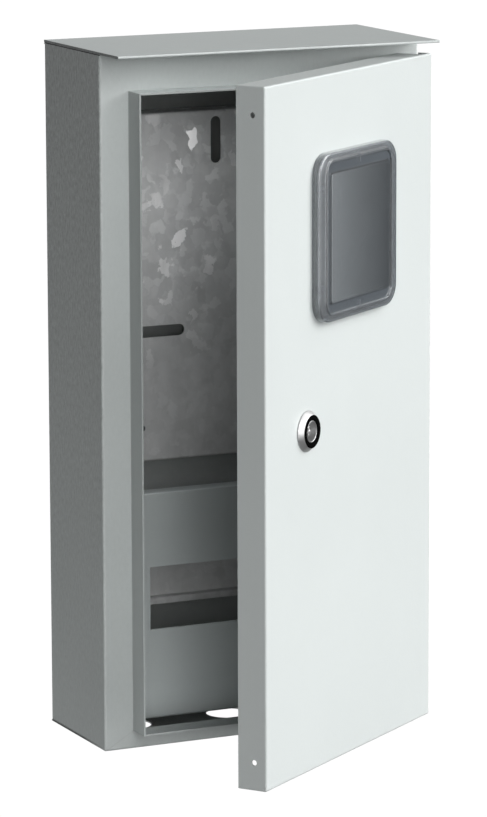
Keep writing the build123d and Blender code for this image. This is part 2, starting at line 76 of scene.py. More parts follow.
# --------------------------------------------------------------- materials
class Nodes:
    """Short hand for building a node tree."""

    def __init__(self, tree):
        self.tree = tree
        tree.nodes.clear()

    def add(self, kind, inputs=None, **props):
        n = self.tree.nodes.new(kind)
        for k, v in props.items():
            setattr(n, k, v)
        for k, v in (inputs or {}).items():
            self.put(n, k, v)
        return n

    def put(self, n, key, value):
        sock = n.inputs[key]
        if isinstance(value, bpy.types.NodeSocket):
            self.tree.links.new(value, sock)
        else:
            sock.default_value = value

    def math(self, op, a, b=None, clamp=False):
        n = self.add("ShaderNodeMath", operation=op, use_clamp=clamp)
        self.put(n, 0, a)
        if b is not None:
            self.put(n, 1, b)
        return n.outputs[0]

    def mix(self, fac, a, b, blend="MIX"):
        n = self.add("ShaderNodeMix", data_type="RGBA", blend_type=blend)
        self.put(n, 0, fac)
        self.put(n, 6, a)
        self.put(n, 7, b)
        return n.outputs[2]

    def lerp(self, fac, a, b):
        n = self.add("ShaderNodeMix", data_type="FLOAT")
        self.put(n, 0, fac)
        self.put(n, 2, a)
        self.put(n, 3, b)
        return n.outputs[0]

    def ramp(self, fac, stops):
        n = self.add("ShaderNodeValToRGB")
        el = n.color_ramp.elements
        while len(el) < len(stops):
            el.new(0.5)
        for e, (pos, val) in zip(el, stops):
            e.position = pos
            e.color = (val, val, val, 1.0) if isinstance(val, (int, float)) else val
        self.put(n, 0, fac)
        return n.outputs[0]

    def noise(self, coord, scale, detail=2.0, rough=0.5, distort=0.0):
        n = self.add("ShaderNodeTexNoise", {"Scale": scale, "Detail": detail, "Roughness": rough,
                                           "Distortion": distort, "Vector": coord})
        return n.outputs["Fac"]

    def coord(self, scale=(1, 1, 1), turn=(0, 0, 0), shift=(0, 0, 0)):
        t = self.add("ShaderNodeTexCoord")
        m = self.add("ShaderNodeMapping", {"Vector": t.outputs["Object"], "Scale": scale,
                                          "Rotation": turn, "Location": shift})
        return m.outputs[0]

    def bump(self, height, strength, distance, normal=None):
        n = self.add("ShaderNodeBump", {"Height": height, "Strength": strength, "Distance": distance})
        if normal is not None:
            self.put(n, "Normal", normal)
        return n.outputs[0]


def new_material(name):
    m = bpy.data.materials.new(name)
    m.use_nodes = True
    return m, Nodes(m.node_tree)


def finish_material(m, n, **inputs):
    shader = n.add("ShaderNodeBsdfPrincipled", inputs={k.replace("_", " "): v for k, v in inputs.items()})
    out = n.add("ShaderNodeOutputMaterial", {"Surface": shader.outputs[0]})
    return m


def grey(v, tint=(0.0, 0.0, 0.0)):
    return (v + tint[0], v + tint[1], v + tint[2], 1.0)


def box_mask(n, half_x, y0, y1, half_z):
    """1 inside a box of the row frame, 0 outside, in metres."""
    t = n.add("ShaderNodeTexCoord")
    xyz = n.add("ShaderNodeSeparateXYZ", {0: t.outputs["Object"]})
    x = n.math("LESS_THAN", n.math("ABSOLUTE", xyz.outputs[0]), half_x)
    ya = n.math("GREATER_THAN", xyz.outputs[1], y0)
    yb = n.math("LESS_THAN", xyz.outputs[1], y1)
    z = n.math("LESS_THAN", n.math("ABSOLUTE", xyz.outputs[2]), half_z)
    return n.math("MULTIPLY", n.math("MULTIPLY", x, z), n.math("MULTIPLY", ya, yb))


def mitre_lines(n):
    """Distance in metres to the two welded mitres at each side of the frame,
    drawn from the body's corner to the collar's corner."""
    t = n.add("ShaderNodeTexCoord")
    xyz = n.add("ShaderNodeSeparateXYZ", {0: t.outputs["Object"]})
    x = n.math("SUBTRACT", n.math("ABSOLUTE", xyz.outputs[0]), 0.125)
    out = None
    for zc, dx, dz, fade in ((-0.250, -22.1, 13.3, 0.0), (0.250, -22.1, -26.5, 0.0004)):
        ln = math.hypot(dx, dz)
        z = n.math("SUBTRACT", xyz.outputs[2], zc)
        d = n.math("ABSOLUTE", n.math("SUBTRACT", n.math("MULTIPLY", x, dz / ln), n.math("MULTIPLY", z, dx / ln)))
        d = n.math("ADD", d, fade)
        out = d if out is None else n.math("MINIMUM", out, d)
    return out, n.math("LESS_THAN", xyz.outputs[1], -0.0972)


def paint(name, light, dark, rough, peel, grain, body=False, painted_cover_shade=False):
    """Powder coat: a fine orange peel, a finer grain, and a slow change of
    tone and gloss over the sheet. On the body, the inside is darkened with
    painted shade, the outside carries painted light and shade, and its frame
    shows the dressed welds of the mitres."""
    m, n = new_material(name)
    c = n.coord()
    slow = n.noise(c, 9.0, 3.0, 0.55)
    mottle = n.noise(c, 170.0, 2.0, 0.6)
    fleck = n.noise(c, 1150.0, 2.0, 0.6)
    tone = n.math("ADD", n.math("MULTIPLY", slow, 0.55), n.math("MULTIPLY", mottle, 0.2))
    tone = n.math("ADD", tone, n.math("MULTIPLY", fleck, 0.25))
    col = n.mix(n.ramp(tone, [(0.32, 0.0), (0.68, 1.0)]), dark, light)
    if body:
        # The coat is coarsest on the left side, which hung lowest in the line.
        geo = n.add("ShaderNodeNewGeometry")
        normal = n.add("ShaderNodeSeparateXYZ", {0: geo.outputs["True Normal"]})
        nx, ny, nz = normal.outputs
        t = n.add("ShaderNodeTexCoord")
        xyz = n.add("ShaderNodeSeparateXYZ", {0: t.outputs["Object"]})
        z = xyz.outputs[2]
        side = n.math("MULTIPLY", n.math("MAXIMUM", n.math("MULTIPLY", nx, -1.0), 0.0),
                      n.math("LESS_THAN", xyz.outputs[0], -0.1225))
        fine = n.noise(n.coord(scale=(1, 1, 0.42)), 520.0, 3.0, 0.75)
        up = n.ramp(n.math("ADD", n.math("MULTIPLY", z, 2.0), 0.5), [(0.05, 0.0), (0.85, 1.0)])
        amount = n.lerp(side, 0.12, n.lerp(up, 0.42, 1.6))
        shade = n.math("ADD", n.math("MULTIPLY", n.math("SUBTRACT", fine, 0.5), amount), 1.0)
        # Painted shade: a dark line where the side's foot turns under, strongest at the back.
        foot_shade = n.math("MULTIPLY", n.ramp(n.math("MULTIPLY", n.math("ADD", z, 0.25), 100.0), [(0.16, 1.0), (0.28, 0.0)]), side)
        back = n.ramp(n.math("MULTIPLY", n.math("MULTIPLY", xyz.outputs[1], -1.0), 10.0), [(0.60, 1.0), (0.95, 0.10)])
        shade = n.math("MULTIPLY", shade, n.lerp(n.math("MULTIPLY", foot_shade, back), 1.0, 0.26))
        # Painted light: the left side is a little lighter low down.
        shade = n.math("MULTIPLY", shade, n.lerp(side, 1.0, n.lerp(up, 1.13, 1.0)))
        # Painted light: the front is a little lighter high up, and most so towards the hinges.
        front = n.math("LESS_THAN", ny, -0.8)
        below = n.math("LESS_THAN", z, 0.2495)
        tall = n.ramp(n.math("ADD", n.math("MULTIPLY", z, 2.0), 0.5), [(0.55, 0.50), (0.80, 0.565), (0.93, 0.538), (0.985, 0.472)])
        far = n.ramp(n.math("ADD", n.math("MULTIPLY", xyz.outputs[0], 4.0), 0.5), [(0.25, 0.50), (0.95, 0.63)])
        shade = n.math("MULTIPLY", shade, n.lerp(n.math("MULTIPLY", front, below), 1.0,
                                                      n.math("MULTIPLY", n.math("MULTIPLY", tall, far), 4.0)))
        # Painted light: the strip under the collar is a little lighter at its left end
        # and in its middle, fading out up the uprights.
        heel = n.math("MULTIPLY", front, n.ramp(n.math("MULTIPLY", n.math("ADD", z, 0.25), 20.0), [(0.27, 1.0), (0.95, 0.0)]))
        ends = n.ramp(n.math("MULTIPLY", n.math("ADD", xyz.outputs[0], 0.125), 4.0),
                      [(0.0, 0.545), (0.127, 0.51), (0.212, 0.575), (0.382, 0.63), (0.60, 0.56), (0.88, 0.50)])
        shade = n.math("MULTIPLY", shade, n.lerp(heel, 1.0, n.math("MULTIPLY", ends, 2.0)))
        # The collar: painted light on its upper ledge, painted shade on its cut front edge (a little lighter low
        # down).
        proud = n.math("MULTIPLY", n.math("LESS_THAN", xyz.outputs[1], -0.0990), below)
        ledge_light = n.math("MULTIPLY", proud, n.math("GREATER_THAN", nz, 0.7))
        lip_shade = n.math("MULTIPLY", n.math("MULTIPLY", proud, front), n.math("LESS_THAN", xyz.outputs[1], -0.1050))
        shade = n.math("MULTIPLY", shade, n.lerp(ledge_light, 1.0, 1.45))
        shade = n.math("MULTIPLY", shade, n.lerp(lip_shade, 1.0, n.lerp(up, 1.12, 0.68)))
        # Painted shade: the canopy's cut side edges are darkened.
        cut_edge_shade = n.math("MULTIPLY", n.math("GREATER_THAN", z, 0.25005), n.math("GREATER_THAN", n.math("ABSOLUTE", nx), 0.8))
        shade = n.math("MULTIPLY", shade, n.lerp(cut_edge_shade, 1.0, 0.52))
        col = n.mix(1.0, col, shade, "MULTIPLY")
    if painted_cover_shade:
        # Painted light and shade on this piece: lighter towards its foot, and low down
        # darker at its left and lighter at its right; darker at its very toe; and a
        # painted highlight on the fold along its top, weaker towards the back.
        t = n.add("ShaderNodeTexCoord")
        xyz = n.add("ShaderNodeSeparateXYZ", {0: t.outputs["Object"]})
        z = n.math("ADD", n.math("MULTIPLY", xyz.outputs[2], 4.0), 1.0)
        low = n.ramp(z, [(0.08, 0.67), (0.34, 0.52), (0.62, 0.45)])
        down = n.ramp(z, [(0.25, 1.0), (0.60, 0.0)])
        toe = n.ramp(z, [(0.060, 0.70), (0.082, 0.81), (0.105, 0.93), (0.135, 1.0)])
        across = n.ramp(n.math("MULTIPLY", n.math("ADD", xyz.outputs[0], 0.10), 10.0), [(0.05, 0.45), (0.70, 0.58)])
        geo = n.add("ShaderNodeNewGeometry")
        nz = n.add("ShaderNodeSeparateXYZ", {0: geo.outputs["True Normal"]}).outputs[2]
        fold_highlight = n.ramp(nz, [(0.45, 0.0), (0.95, 1.0)])
        rear = n.ramp(n.math("MULTIPLY", n.math("ADD", xyz.outputs[1], 0.0785), 50.0), [(0.0, 1.0), (0.70, 0.72)])
        shade = n.math("MULTIPLY", n.math("MULTIPLY", low, 2.0), n.lerp(down, 1.0, n.math("MULTIPLY", across, 2.0)))
        shade = n.math("MULTIPLY", shade, n.lerp(fold_highlight, 1.0, n.math("MULTIPLY", rear, 2.0)))
        shade = n.math("MULTIPLY", shade, toe)
        col = n.mix(1.0, col, shade, "MULTIPLY")
    peel_h = n.noise(c, 420.0, 2.0, 0.55)
    grain_h = n.noise(c, 1300.0, 2.0, 0.6)
    height = n.math("ADD", n.math("MULTIPLY", peel_h, peel), n.math("MULTIPLY", grain_h, grain))
    if body:
        # Painted shade: the inside is darkened, most of all high up; painted light lifts a band behind the cover's
        # top and the inside floor.
        inside = box_mask(n, 0.1244, -0.0979, -0.0006, 0.2494)
        inner_shade = n.mix(mottle, (0.20, 0.211, 0.208, 1), (0.24, 0.252, 0.248, 1))
        inner_shade = n.mix(up, n.mix(mottle, (0.33, 0.348, 0.343, 1), (0.38, 0.40, 0.394, 1)), inner_shade)
        gap_light = n.ramp(n.math("MULTIPLY", n.math("ADD", z, 0.12), 10.0),
                       [(0.08, 0.0), (0.30, 1.0), (0.40, 0.9), (0.50, 0.35), (0.68, 0.0)])
        inner_shade = n.mix(1.0, inner_shade, n.lerp(gap_light, 1.0, 1.6), "MULTIPLY")
        inner_shade = n.mix(1.0, inner_shade, n.lerp(n.math("LESS_THAN", z, -0.2475), 1.0, 1.7), "MULTIPLY")
        col = n.mix(inside, col, inner_shade)
        d, front = mitre_lines(n)
        line = n.math("MULTIPLY", n.ramp(n.math("MULTIPLY", d, 600.0), [(0.0, 1.0), (0.42, 0.0)]), front)
        col = n.mix(n.math("MULTIPLY", line, 0.16), col, (0.20, 0.21, 0.21, 1))
        height = n.math("SUBTRACT", height, n.math("MULTIPLY", line, 1.2))
    nor = n.bump(height, 1.0, 0.00012)
    rgh = n.lerp(mottle, rough - 0.05, rough + 0.07)
    return finish_material(m, n, Base_Color=col, Roughness=rgh, Normal=nor)


def galvanised(name):
    """Hot-dip zinc: dull grey with soft cloudy spangles, and a few bright
    flakes with ragged edges, most of them high on the plate."""
    m, n = new_material(name)
    c = n.coord()

    def bent(scale, amount, detail):
        w = n.add("ShaderNodeTexNoise", {"Scale": scale, "Detail": detail, "Roughness": 0.6, "Vector": c})
        off = n.add("ShaderNodeVectorMath", operation="SUBTRACT")
        n.put(off, 0, w.outputs["Color"])
        n.put(off, 1, (0.5, 0.5, 0.5))
        k = n.add("ShaderNodeVectorMath", operation="SCALE")
        n.put(k, 0, off.outputs[0])
        n.put(k, "Scale", amount)
        out = n.add("ShaderNodeVectorMath", operation="ADD")
        n.put(out, 0, c)
        n.put(out, 1, k.outputs[0])
        return out.outputs[0]

    slant = n.add("ShaderNodeMapping", {"Vector": bent(95.0, 0.016, 4.0), "Rotation": (0.0, 0.75, 0.0),
                                        "Scale": (1.0, 1.0, 0.62)})
    big = n.add("ShaderNodeTexVoronoi", {"Scale": 128.0, "Vector": slant.outputs[0], "Smoothness": 0.30},
                feature="SMOOTH_F1")
    mid = n.add("ShaderNodeTexVoronoi", {"Scale": 120.0, "Vector": bent(70.0, 0.022, 3.0), "Smoothness": 0.5},
                feature="SMOOTH_F1")
    pick = n.add("ShaderNodeSeparateColor", {"Color": big.outputs["Color"]}).outputs[0]
    pick2 = n.add("ShaderNodeSeparateColor", {"Color": mid.outputs["Color"]})
    cloud = n.noise(c, 22.0, 4.0, 0.62)
    streak = n.noise(n.coord(scale=(1.0, 1.0, 0.35), turn=(0, 0.5, 0)), 90.0, 3.0, 0.6)
    xyz = n.add("ShaderNodeSeparateXYZ", {0: c})
    high = n.ramp(n.math("MULTIPLY", xyz.outputs[2], 5.0), [(0.05, 0.0), (0.48, 1.0)])
    edge = n.math("ADD", pick, n.math("MULTIPLY", n.math("SUBTRACT", streak, 0.5), 0.22))
    bright = n.ramp(edge, [(0.84, 0.0), (0.96, 1.0)])
    faint = n.ramp(pick2.outputs[1], [(0.55, 0.0), (0.85, 1.0)])
    tone = n.math("ADD", n.math("MULTIPLY", pick2.outputs[0], 0.18), n.math("MULTIPLY", cloud, 0.50))
    tone = n.math("ADD", tone, n.math("MULTIPLY", streak, 0.32))
    base = n.mix(n.ramp(tone, [(0.28, 0.0), (0.72, 1.0)]), (0.49, 0.497, 0.495, 1), (0.70, 0.706, 0.704, 1))
    base = n.mix(n.math("MULTIPLY", faint, n.lerp(high, 0.08, 0.30)), base, (0.95, 0.96, 0.96, 1))
    # Painted light: the base is lighter high up on the plate.
    lift = n.lerp(high, 0.95, 1.22)
    base = n.mix(1.0, base, lift, "MULTIPLY")
    flake = n.math("MULTIPLY", bright, n.lerp(high, 0.10, 1.0))
    col = n.mix(flake, base, (0.97, 0.97, 0.97, 1))
    rgh = n.lerp(flake, 0.55, 0.38)
    grain = n.noise(c, 700.0, 2.0)
    # A flake is one crystal, tilted its own way out of the sheet.
    own = n.add("ShaderNodeSeparateColor", {"Color": big.outputs["Color"]})
    lean = n.add("ShaderNodeCombineXYZ", {
        0: n.math("SUBTRACT", n.math("MULTIPLY", own.outputs[1], 0.26), 0.36),
        2: n.math("SUBTRACT", n.math("MULTIPLY", own.outputs[2], 0.24), 0.06)})
    lean_k = n.add("ShaderNodeVectorMath", {0: lean.outputs[0], "Scale": flake}, operation="SCALE")
    geo = n.add("ShaderNodeNewGeometry")
    leant = n.add("ShaderNodeVectorMath", {0: geo.outputs["Normal"], 1: lean_k.outputs[0]}, operation="ADD")
    unit = n.add("ShaderNodeVectorMath", {0: leant.outputs[0]}, operation="NORMALIZE")
    nor = n.bump(n.math("ADD", n.math("MULTIPLY", streak, 0.4), grain), 0.10, 0.0003, normal=unit.outputs[0])
    return finish_material(m, n, Base_Color=col, Metallic=n.lerp(flake, 0.22, 0.42), Roughness=rgh, Normal=nor)


def zinc(name, lo, hi, rough, metallic=1.0, tint=(0, 0, 0)):
    """Bright zinc or other plated metal with fine brushing and dull patches."""
    m, n = new_material(name)
    c = n.coord(scale=(1, 1, 6))
    brush = n.noise(c, 900.0, 3.0, 0.6)
    patch = n.noise(n.coord(), 120.0, 3.0, 0.6)
    col = n.mix(n.ramp(patch, [(0.3, 0.0), (0.7, 1.0)]), grey(lo, tint), grey(hi, tint))
    rgh = n.lerp(patch, rough - 0.06, rough + 0.1)
    nor = n.bump(brush, 0.12, 0.0001)
    return finish_material(m, n, Base_Color=col, Metallic=metallic, Roughness=rgh, Normal=nor)


def smoky(name, pane=0.0, groove=0.0):
    """Smoke-tinted moulded plastic: hazy inside, with a glossy skin. The
    pane carries painted shade, its tint lighter at the left and darker to
    the right; the groove round it is darker, and the darkest groove tone,
    with almost no coat, is a painted shadow line."""
    m, n = new_material(name)
    c = n.coord()
    haze = n.noise(c, 45.0, 3.0, 0.6)
    if pane:
        xyz = n.add("ShaderNodeSeparateXYZ", {0: c})
        # Painted shade: the pane is lighter at its left, darker to its right.
        pane_shade = n.ramp(n.math("MULTIPLY", n.math("ADD", xyz.outputs[0], 0.014), 12.5), [(0.0, 1.0), (0.98, 0.0)])
        lean = n.math("ADD", n.math("MULTIPLY", haze, 0.10), n.math("MULTIPLY", pane_shade, 0.90))
        col = n.mix(lean, (0.090, 0.101, 0.110, 1), (0.31, 0.335, 0.352, 1))
    elif groove:
        col = n.mix(haze, (groove * 0.86, groove * 0.98, groove * 1.1, 1),
                    (groove * 1.06, groove * 1.2, groove * 1.34, 1))
    else:
        col = n.mix(haze, (0.45, 0.485, 0.515, 1), (0.53, 0.565, 0.595, 1))
    rgh = n.lerp(haze, 0.20, 0.26)
    nor = n.bump(n.noise(c, 30.0, 2.0), 0.03, 0.0002)
    through = 0.55 if pane else (0.2 if groove else 0.85)
    # The painted shadow line takes almost no coat, so it stays dark.
    return finish_material(m, n, Base_Color=col, Roughness=rgh, IOR=1.49, Transmission_Weight=through,
                           Coat_Weight=0.9 if groove != 0.03 else 0.05, Coat_Roughness=0.12, Normal=nor)


def black_plastic(name):
    m, n = new_material(name)
    c = n.coord()
    tex = n.noise(c, 1500.0, 3.0, 0.6)
    col = n.mix(tex, grey(0.0006), grey(0.002))
    rgh = n.lerp(n.noise(c, 200.0), 0.60, 0.72)
    return finish_material(m, n, Base_Color=col, Roughness=rgh, Specular_IOR_Level=0.015, Normal=n.bump(tex, 0.2, 0.00006))


def foam(name):
    """Black closed-cell foam with open pores in its skin."""
    m, n = new_material(name)
    c = n.coord()
    cell = n.add("ShaderNodeTexVoronoi", {"Scale": 1500.0, "Vector": c}, feature="DISTANCE_TO_EDGE")
    pore = n.ramp(cell.outputs["Distance"], [(0.02, 1.0), (0.30, 0.0)])
    col = n.mix(pore, grey(0.012), grey(0.028))
    nor = n.bump(pore, 0.7, 0.0002)
    return finish_material(m, n, Base_Color=col, Roughness=n.lerp(pore, 0.95, 0.8), Normal=nor)


PAINT = paint("paint_grey", (0.452, 0.482, 0.476, 1), (0.421, 0.449, 0.444, 1), 0.42, 0.16, 0.3, body=True)
# Painted light: the door takes the same grey as the body, made a little lighter.
PAINT_DOOR_LIT = paint("paint_door", (0.488, 0.517, 0.512, 1), (0.464, 0.493, 0.488, 1), 0.40, 0.40, 0.2)
PAINT_IN = paint("paint_inner", (0.438, 0.474, 0.472, 1), (0.408, 0.442, 0.440, 1), 0.45, 0.5, 0.3, painted_cover_shade=True)
GALV = galvanised("galvanised")
ZINC = zinc("zinc_plated", 0.42, 0.58, 0.34, tint=(0, 0.002, 0.01))
SMOKY = smoky("smoky_plastic")
SMOKY_PANE = smoky("smoky_pane", pane=1.0)
SMOKY_GROOVE = smoky("smoky_groove", groove=0.095)
SMOKY_SHADOW_LINE = smoky("smoky_shadow_line", groove=0.03)
BLACK = black_plastic("black_plastic")
FOAM = foam("black_foam")
CHROME = zinc("chrome_plated", 0.52, 0.60, 0.46)
SATIN = zinc("satin_core", 0.38, 0.52, 0.40)
BRASS = zinc("brass_earth", 0.30, 0.40, 0.32, tint=(0.25, 0.12, -0.18))

SLOT_OF = {
    "body_wrap": PAINT, "bottom_panel": PAINT, "top_panel": PAINT, "rain_canopy": PAINT,
    "meter_plate": GALV, "din_rail": GALV, "rail_bracket_left": GALV, "rail_bracket_right": GALV,
    "plate_studs": ZINC, "plate_washers": ZINC, "plate_nuts": ZINC, "rail_screws": ZINC,
    "module_cover": PAINT_IN, "cover_support_left": PAINT_IN, "cover_support_right": PAINT_IN,
    "cover_screws": ZINC, "body_earth_stud": BRASS, "body_earth_washers": BRASS, "body_earth_nuts": BRASS,
    "hinge_bracket_upper": PAINT, "hinge_bracket_lower": PAINT, "hinge_pin_upper": ZINC, "hinge_pin_lower": ZINC,
    "door_panel": PAINT_DOOR_LIT, "door_gasket": FOAM, "door_lug_upper": PAINT_DOOR_LIT, "door_lug_lower": PAINT_DOOR_LIT,
    "window": SMOKY, "window_seal": FOAM, "lock_housing": CHROME, "lock_ring": BLACK, "lock_nut": ZINC,
    "door_earth_stud": BRASS, "door_earth_washers": BRASS, "door_earth_nuts": BRASS,
    "lock_insert": SATIN, "lock_cam": ZINC, "cam_washer": ZINC, "cam_screw": ZINC,
}
for name, mat in SLOT_OF.items():
    ob = nodes[name]
    ob.data.materials.clear()
    ob.data.materials.append(mat)


# ---------------------------------------------------------------- geometry
def make(name, verts, faces, place, mat, body, hide=(), sharp=32.0):
    """A mesh piece from drawing coordinates: smooth, with its edges over
    the angle kept sharp. It rides on a body."""
    me = bpy.data.meshes.new(name)
    me.from_pydata([tuple(v) for v in verts], [], faces)
    me.validate()
    me.transform(place)
    bm = bmesh.new()
    bm.from_mesh(me)
    bmesh.ops.remove_doubles(bm, verts=bm.verts, dist=1e-7)
    bmesh.ops.recalc_face_normals(bm, faces=bm.faces)
    for f in bm.faces:
        f.smooth = True
    for e in bm.edges:
        if len(e.link_faces) == 2:
            e.smooth = e.calc_face_angle(0.0) < math.radians(sharp)
    bm.to_mesh(me)
    bm.free()
    ob = bpy.data.objects.new(name, me)
    bpy.context.scene.collection.objects.link(ob)
    me.materials.append(mat)
    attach(ob, body)
    if hide:
        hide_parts(*hide)
    return ob


def axes(p, axis, spin=0.0):
    """Where a shape drawn up +Z from its own origin is put."""
    z = Vector(axis).normalized()
    side = Vector((0, 0, 1)) if abs(z.z) < 0.9 else Vector((1, 0, 0))
    x = side.cross(z).normalized()
    y = z.cross(x)
    m = Matrix((x, y, z)).transposed().to_4x4()
    return Matrix.Translation(p) @ m @ Matrix.Rotation(math.radians(spin), 4, "Z")


class Shape:
    """Collects closed shells of one piece."""

    def __init__(self):
        self.v, self.f = [], []

    def rings(self, rings, m=None, close_loop=False, cap0=True, cap1=True):
        base = len(self.v)
        k = len(rings[0])
        for ring in rings:
            for p in ring:
                p = Vector(p)
                self.v.append(m @ p if m is not None else p)
        last = len(rings)
        for j in range(last if close_loop else last - 1):
            a, b = base + j * k, base + ((j + 1) % last) * k
            for i in range(k):
                n = (i + 1) % k
                self.f.append((a + i, a + n, b + n, b + i))
        if not close_loop:
            if cap0:
                self.f.append(tuple(base + i for i in range(k))[::-1])
            if cap1:
                self.f.append(tuple(base + (last - 1) * k + i for i in range(k)))
        return self

    def lathe(self, profile, m=None, seg=64, loop=False):
        """profile is (radius, height). loop joins its end to its start."""
        rings = []
        for r, h in profile:
            r = r if r > 1e-3 else 1e-6     # a centre point, merged later
            rings.append([(r * math.cos(2 * math.pi * i / seg), r * math.sin(2 * math.pi * i / seg), h)
                          for i in range(seg)])
        return self.rings(rings, m, close_loop=loop)

    def block(self, x0, x1, y0, y1, z0, z1, m=None, c=0.25):
        """A block with its long edges broken."""
        def loop(z, inset):
            a, b, d, e = x0 + inset, x1 - inset, y0 + inset, y1 - inset
            q = min(c, (b - a) / 3, (e - d) / 3)
            return [(a + q, d, z), (b - q, d, z), (b, d + q, z), (b, e - q, z),
                    (b - q, e, z), (a + q, e, z), (a, e - q, z), (a, d + q, z)]
        q = min(c, (z1 - z0) / 3)
        return self.rings([loop(z0, q), loop(z0 + q, 0), loop(z1 - q, 0), loop(z1, q)], m)


def arc(cx, cz, r, a0, a1, steps):
    """Points of an arc in a profile, angles in degrees."""
    return [(cx + r * math.cos(math.radians(a0 + (a1 - a0) * i / steps)),
             cz + r * math.sin(math.radians(a0 + (a1 - a0) * i / steps))) for i in range(steps + 1)]


def thread(sh, m, r, pitch, z0, z1, tip=True, hollow=False, seg=28, flats=None):
    """A screw thread as one closed rod. The hollow argument, for the skin of a hole, is not used."""
    root = r - 0.61 * pitch
    steps = max(2, int((z1 - z0) / pitch * 6))
    rings = []
    for j in range(steps + 1):
        z = z0 + (z1 - z0) * j / steps
        ring = []
        for i in range(seg):
            t = (z / pitch - i / seg) % 1.0
            k = 1.0 - abs(2.0 * t - 1.0)
            k = min(1.0, max(0.0, (k - 0.12) / 0.72))
            rr = root + (r - root) * k
            if tip:
                rr = min(rr, root - 0.25 * pitch + (z1 - z) * 1.1)
            x, y = rr * math.cos(2 * math.pi * i / seg), rr * math.sin(2 * math.pi * i / seg)
            if flats:
                x = max(-flats, min(flats, x))
            ring.append((x, y, z))
        rings.append(ring)
    return sh.rings(rings, m)


def hexnut(sh, m, flats, h, bore, pitch, seg=72):
    """Hexagon nut with turned corners and a chamfered, grooved bore."""
    half = flats / 2

    def rh(i):
        a = 360.0 * i / seg
        return half / math.cos(math.radians((a + 30.0) % 60.0 - 30.0))

    def ring(fn, zf):
        return [(fn(i) * math.cos(2 * math.pi * i / seg), fn(i) * math.sin(2 * math.pi * i / seg), zf(i))
                for i in range(seg)]
    low = half * 0.955
    drop = lambda i: (rh(i) - low) * 0.58
    rings = [ring(lambda i: bore + 0.35, lambda i: 0.0), ring(lambda i: low, lambda i: 0.0), ring(rh, drop),
             ring(rh, lambda i: h - drop(i)), ring(lambda i: low, lambda i: h),
             ring(lambda i: bore + 0.35, lambda i: h)]
    turns = max(2, int(h / pitch))
    for j in range(turns * 4 + 1):
        z = h - 0.3 - (h - 0.6) * j / (turns * 4)
        k = 0.28 * pitch * (1 if j % 4 in (1, 2) else 0)
        rings.append(ring(lambda i, k=k: bore + k, lambda i, z=z: z))
    return sh.rings(rings, m, close_loop=True)


def ring_washer(sh, m, r1, r0, h, seg=56):
    e = min(0.2, h * 0.3)
    return sh.lathe([(r0, e), (r0 + e * 0.5, 0), (r1 - e, 0), (r1, e), (r1, h - e), (r1 - e, h), (r0 + e * 0.5, h),
                     (r0, h - e)], m, seg, loop=True)


def spring_washer(sh, m, r1, r0, h, seg=60):
    """Split spring washer: one turn, its ends a little apart."""
    rings = []
    for i in range(seg + 1):
        a = math.radians(6 + 348.0 * i / seg)
        lift = 0.35 * (i / seg - 0.5)
        rings.append([(rr * math.cos(a), rr * math.sin(a), zz + lift)
                      for rr, zz in ((r0, 0.15), (r1, 0.15), (r1, h - 0.15), (r0, h - 0.15))])
    return sh.rings(rings, m)


def cross_screw(sh, m, r, shank, head_r, head_h, pitch):
    """Pan head with a sunk cross, and its threaded shank below the seat."""
    seg = 48
    rec = head_r * 0.56
    wide = head_r * 0.13
    deep = head_h * 0.55

    def cross_ring(scale, z):
        out = []
        for i in range(seg):
            a = 2 * math.pi * i / seg
            u = abs(math.cos(a)), abs(math.sin(a))
            lo, hi = min(u), max(u)
            t = rec if lo * rec <= wide else wide / max(lo, 1e-6)
            t = max(t, wide * 1.45) * scale
            out.append((t * math.cos(a), t * math.sin(a), z))
        return out

    prof = [(head_r - 0.15, 0.0), (head_r, 0.15)] + [(x, z) for x, z in
            arc(head_r - head_h * 0.55, head_h * 0.45, head_h * 0.55, 0, 80, 6)]
    rings = [[(1e-6 * math.cos(2 * math.pi * i / seg), 1e-6 * math.sin(2 * math.pi * i / seg), 0.0) for i in range(seg)]]
    for rr, z in prof:
        rings.append([(rr * math.cos(2 * math.pi * i / seg), rr * math.sin(2 * math.pi * i / seg), z) for i in range(seg)])
    rings.append([(rec * 1.08 * math.cos(2 * math.pi * i / seg), rec * 1.08 * math.sin(2 * math.pi * i / seg), head_h)
                  for i in range(seg)])
    rings.append(cross_ring(1.0, head_h))
    rings.append(cross_ring(0.55, head_h - deep))
    sh.rings(rings, m)
    thread(sh, m @ Matrix.Rotation(math.pi, 4, "X"), r, pitch, 0.0, shank)
    return sh


def loop_rr(hx, hz, r, y, cz=0.0, k=8, mid=3):
    """Rounded rectangle as a loop in x and z at depth y, evenly numbered."""
    pts = []
    for sx, sz, a0 in ((1, 1, 0), (-1, 1, 90), (-1, -1, 180), (1, -1, 270)):
        cx, c = sx * (hx - r), sz * (hz - r)
        corner = [(cx + r * math.cos(math.radians(a0 + 90.0 * i / k)), c + r * math.sin(math.radians(a0 + 90.0 * i / k)))
                  for i in range(k + 1)]
        pts.append(corner)
    out = []
    for q in range(4):
        out += pts[q]
        a, b = pts[q][-1], pts[(q + 1) % 4][0]
        for i in range(1, mid + 1):
            t = i / (mid + 1)
            out.append((a[0] + (b[0] - a[0]) * t, a[1] + (b[1] - a[1]) * t))
    return [(x, y, z + cz) for x, z in out]


# ---- window: a moulded shell with rounded steps and a flat pane ----
DY, SHEET = -23.0, 1.2
WIN_Z = 378.5


